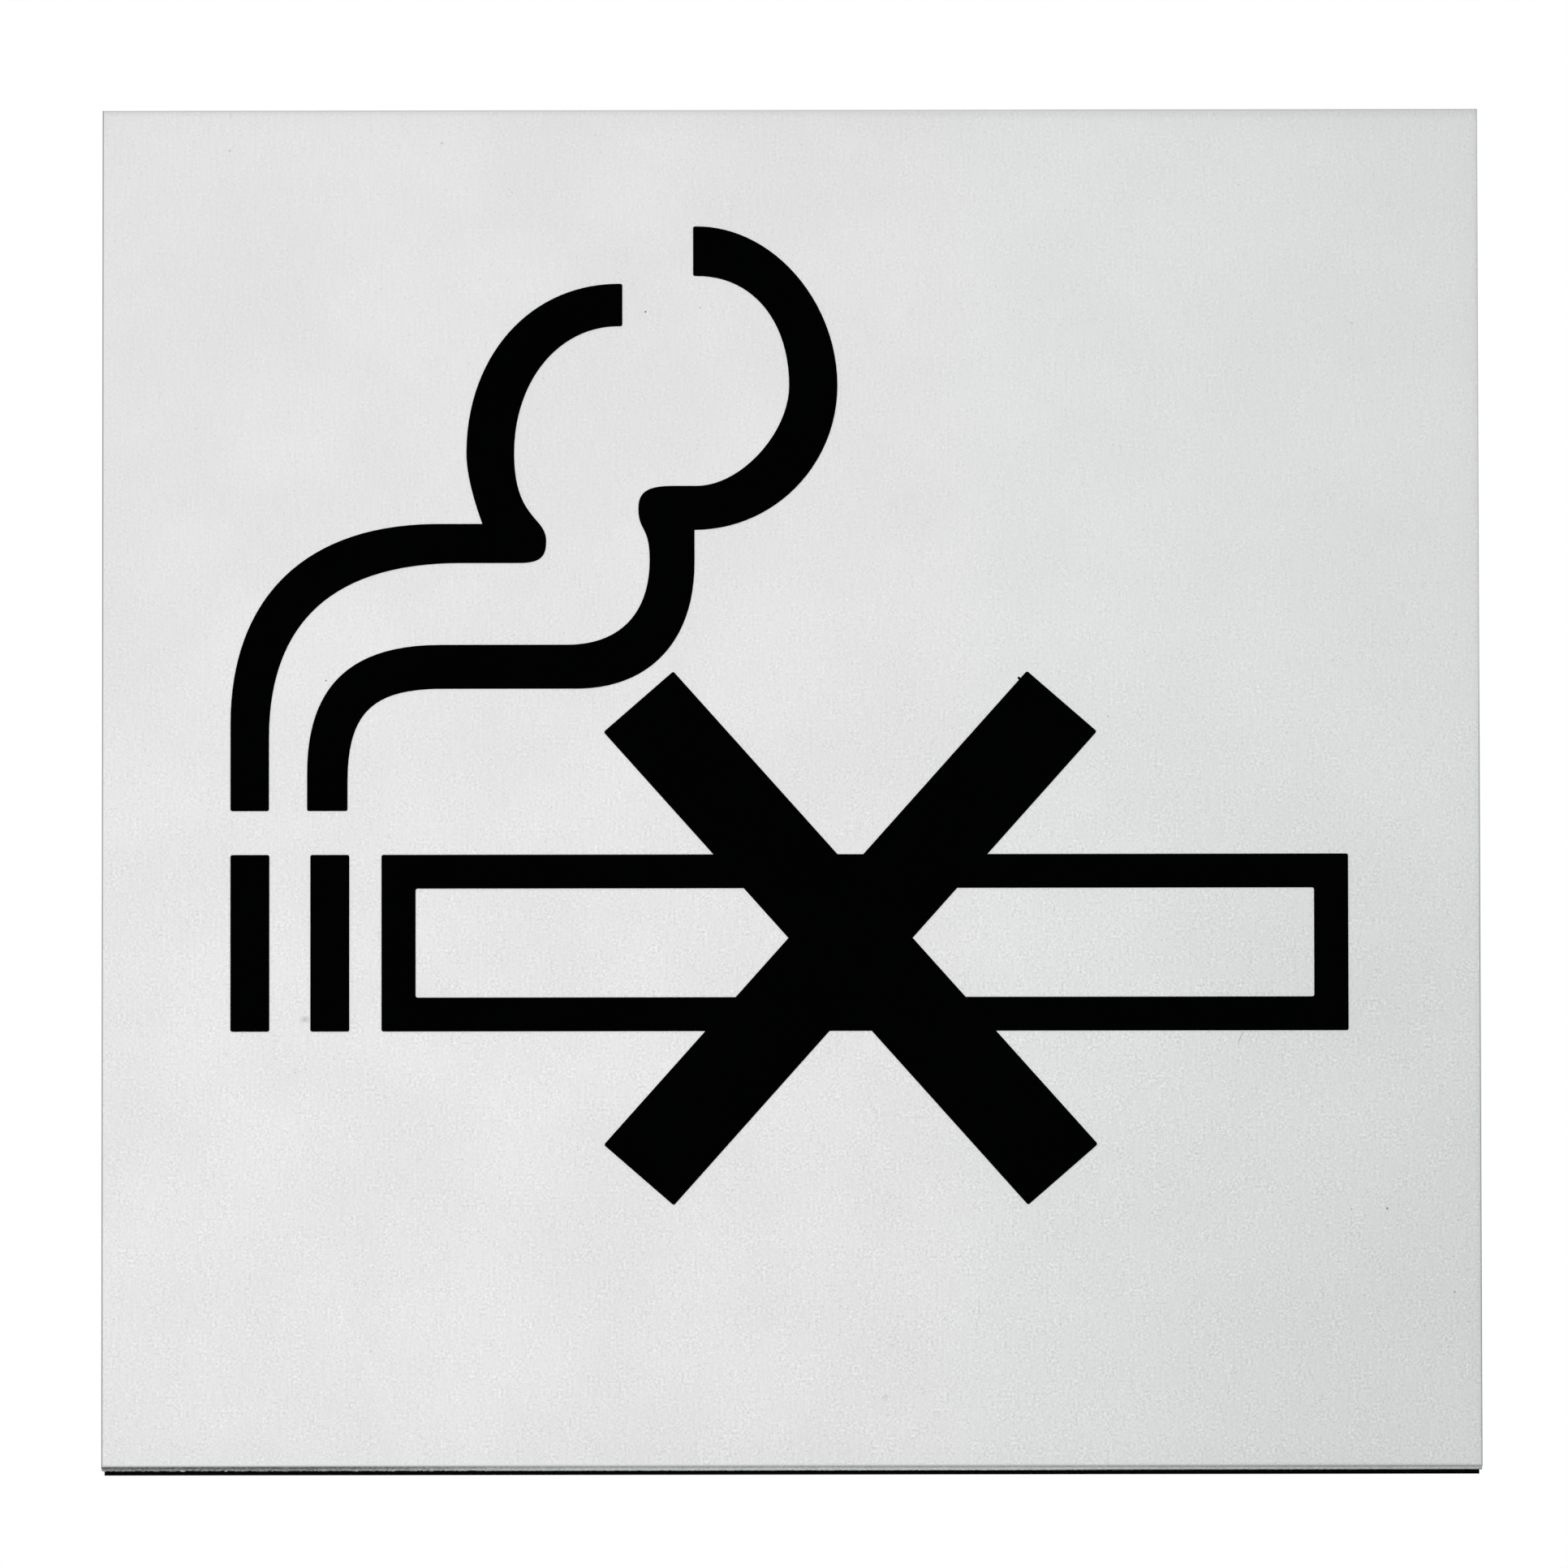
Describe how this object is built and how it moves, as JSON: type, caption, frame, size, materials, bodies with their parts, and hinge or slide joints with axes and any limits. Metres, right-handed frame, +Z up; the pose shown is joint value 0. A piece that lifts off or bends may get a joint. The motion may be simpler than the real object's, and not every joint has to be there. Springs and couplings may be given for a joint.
{
  "type": "no smoking sign",
  "caption": "Square wall or door sign: a satin silver metal plate with a black crossed-out cigarette and its smoke on the front, and a black foam pad behind that sticks it up.",
  "frame": {"origin": "centre of the backing pad's back face, which lies on the wall", "axes": "+Z is up, the sign's front looks along -Y, and +Y goes into the wall"},
  "size_m": [0.1, 0.0041, 0.1],
  "materials": {
    "plate_metal": "satin silver anodised face with a fine grain, sheared edges",
    "black_film": "thin cut film, dead matt black",
    "black_foam": "closed-cell foam with fine pores on its cut sides"
  },
  "bodies": {
    "root": {"face_plate": "plate_metal", "backing_pad": "black_foam", "cigarette_cross": "black_film", "left_ember_bar": "black_film", "right_ember_bar": "black_film", "left_smoke_line": "black_film", "right_smoke_line": "black_film"}
  },
  "joints": []
}
